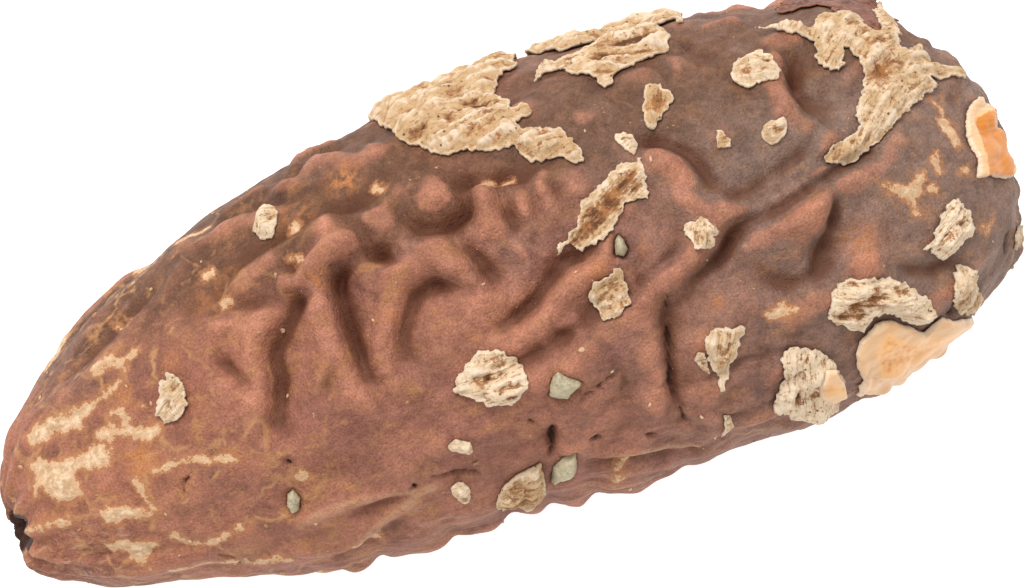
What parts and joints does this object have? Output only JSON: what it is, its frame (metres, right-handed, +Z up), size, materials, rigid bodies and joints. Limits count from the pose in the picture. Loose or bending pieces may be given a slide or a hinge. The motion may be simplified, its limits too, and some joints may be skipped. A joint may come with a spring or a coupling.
{
  "type": "raffia palm seed",
  "caption": "Dried, wrinkled, egg-shaped palm seed with a pitted narrow end and loose scraps of buff husk and amber scale on its brown skin.",
  "frame": {"origin": "under the middle of the part seen from above, on the surface it lies on", "axes": "+X from the narrow pitted end to the broad end, +Y across the seed, +Z up"},
  "size_m": [0.062, 0.0272, 0.0259],
  "materials": {
    "seed_skin": "matte",
    "husk": "matte",
    "scale": "gloss"
  },
  "bodies": {
    "root": {"seed": "seed_skin", "husk_tip_patch": "husk", "husk_oval": "husk", "husk_shoulder": "husk", "husk_edge_strip": "husk", "husk_ridge": "husk", "husk_trough": "husk", "husk_square": "husk", "husk_chip": "husk", "husk_crumb": "husk", "husk_knob": "husk", "husk_wedge": "husk", "husk_pad": "husk", "husk_arch": "husk", "husk_bean": "husk", "husk_nib": "husk", "husk_fork": "husk", "scale_end": "scale", "scale_flank": "scale"}
  },
  "joints": []
}
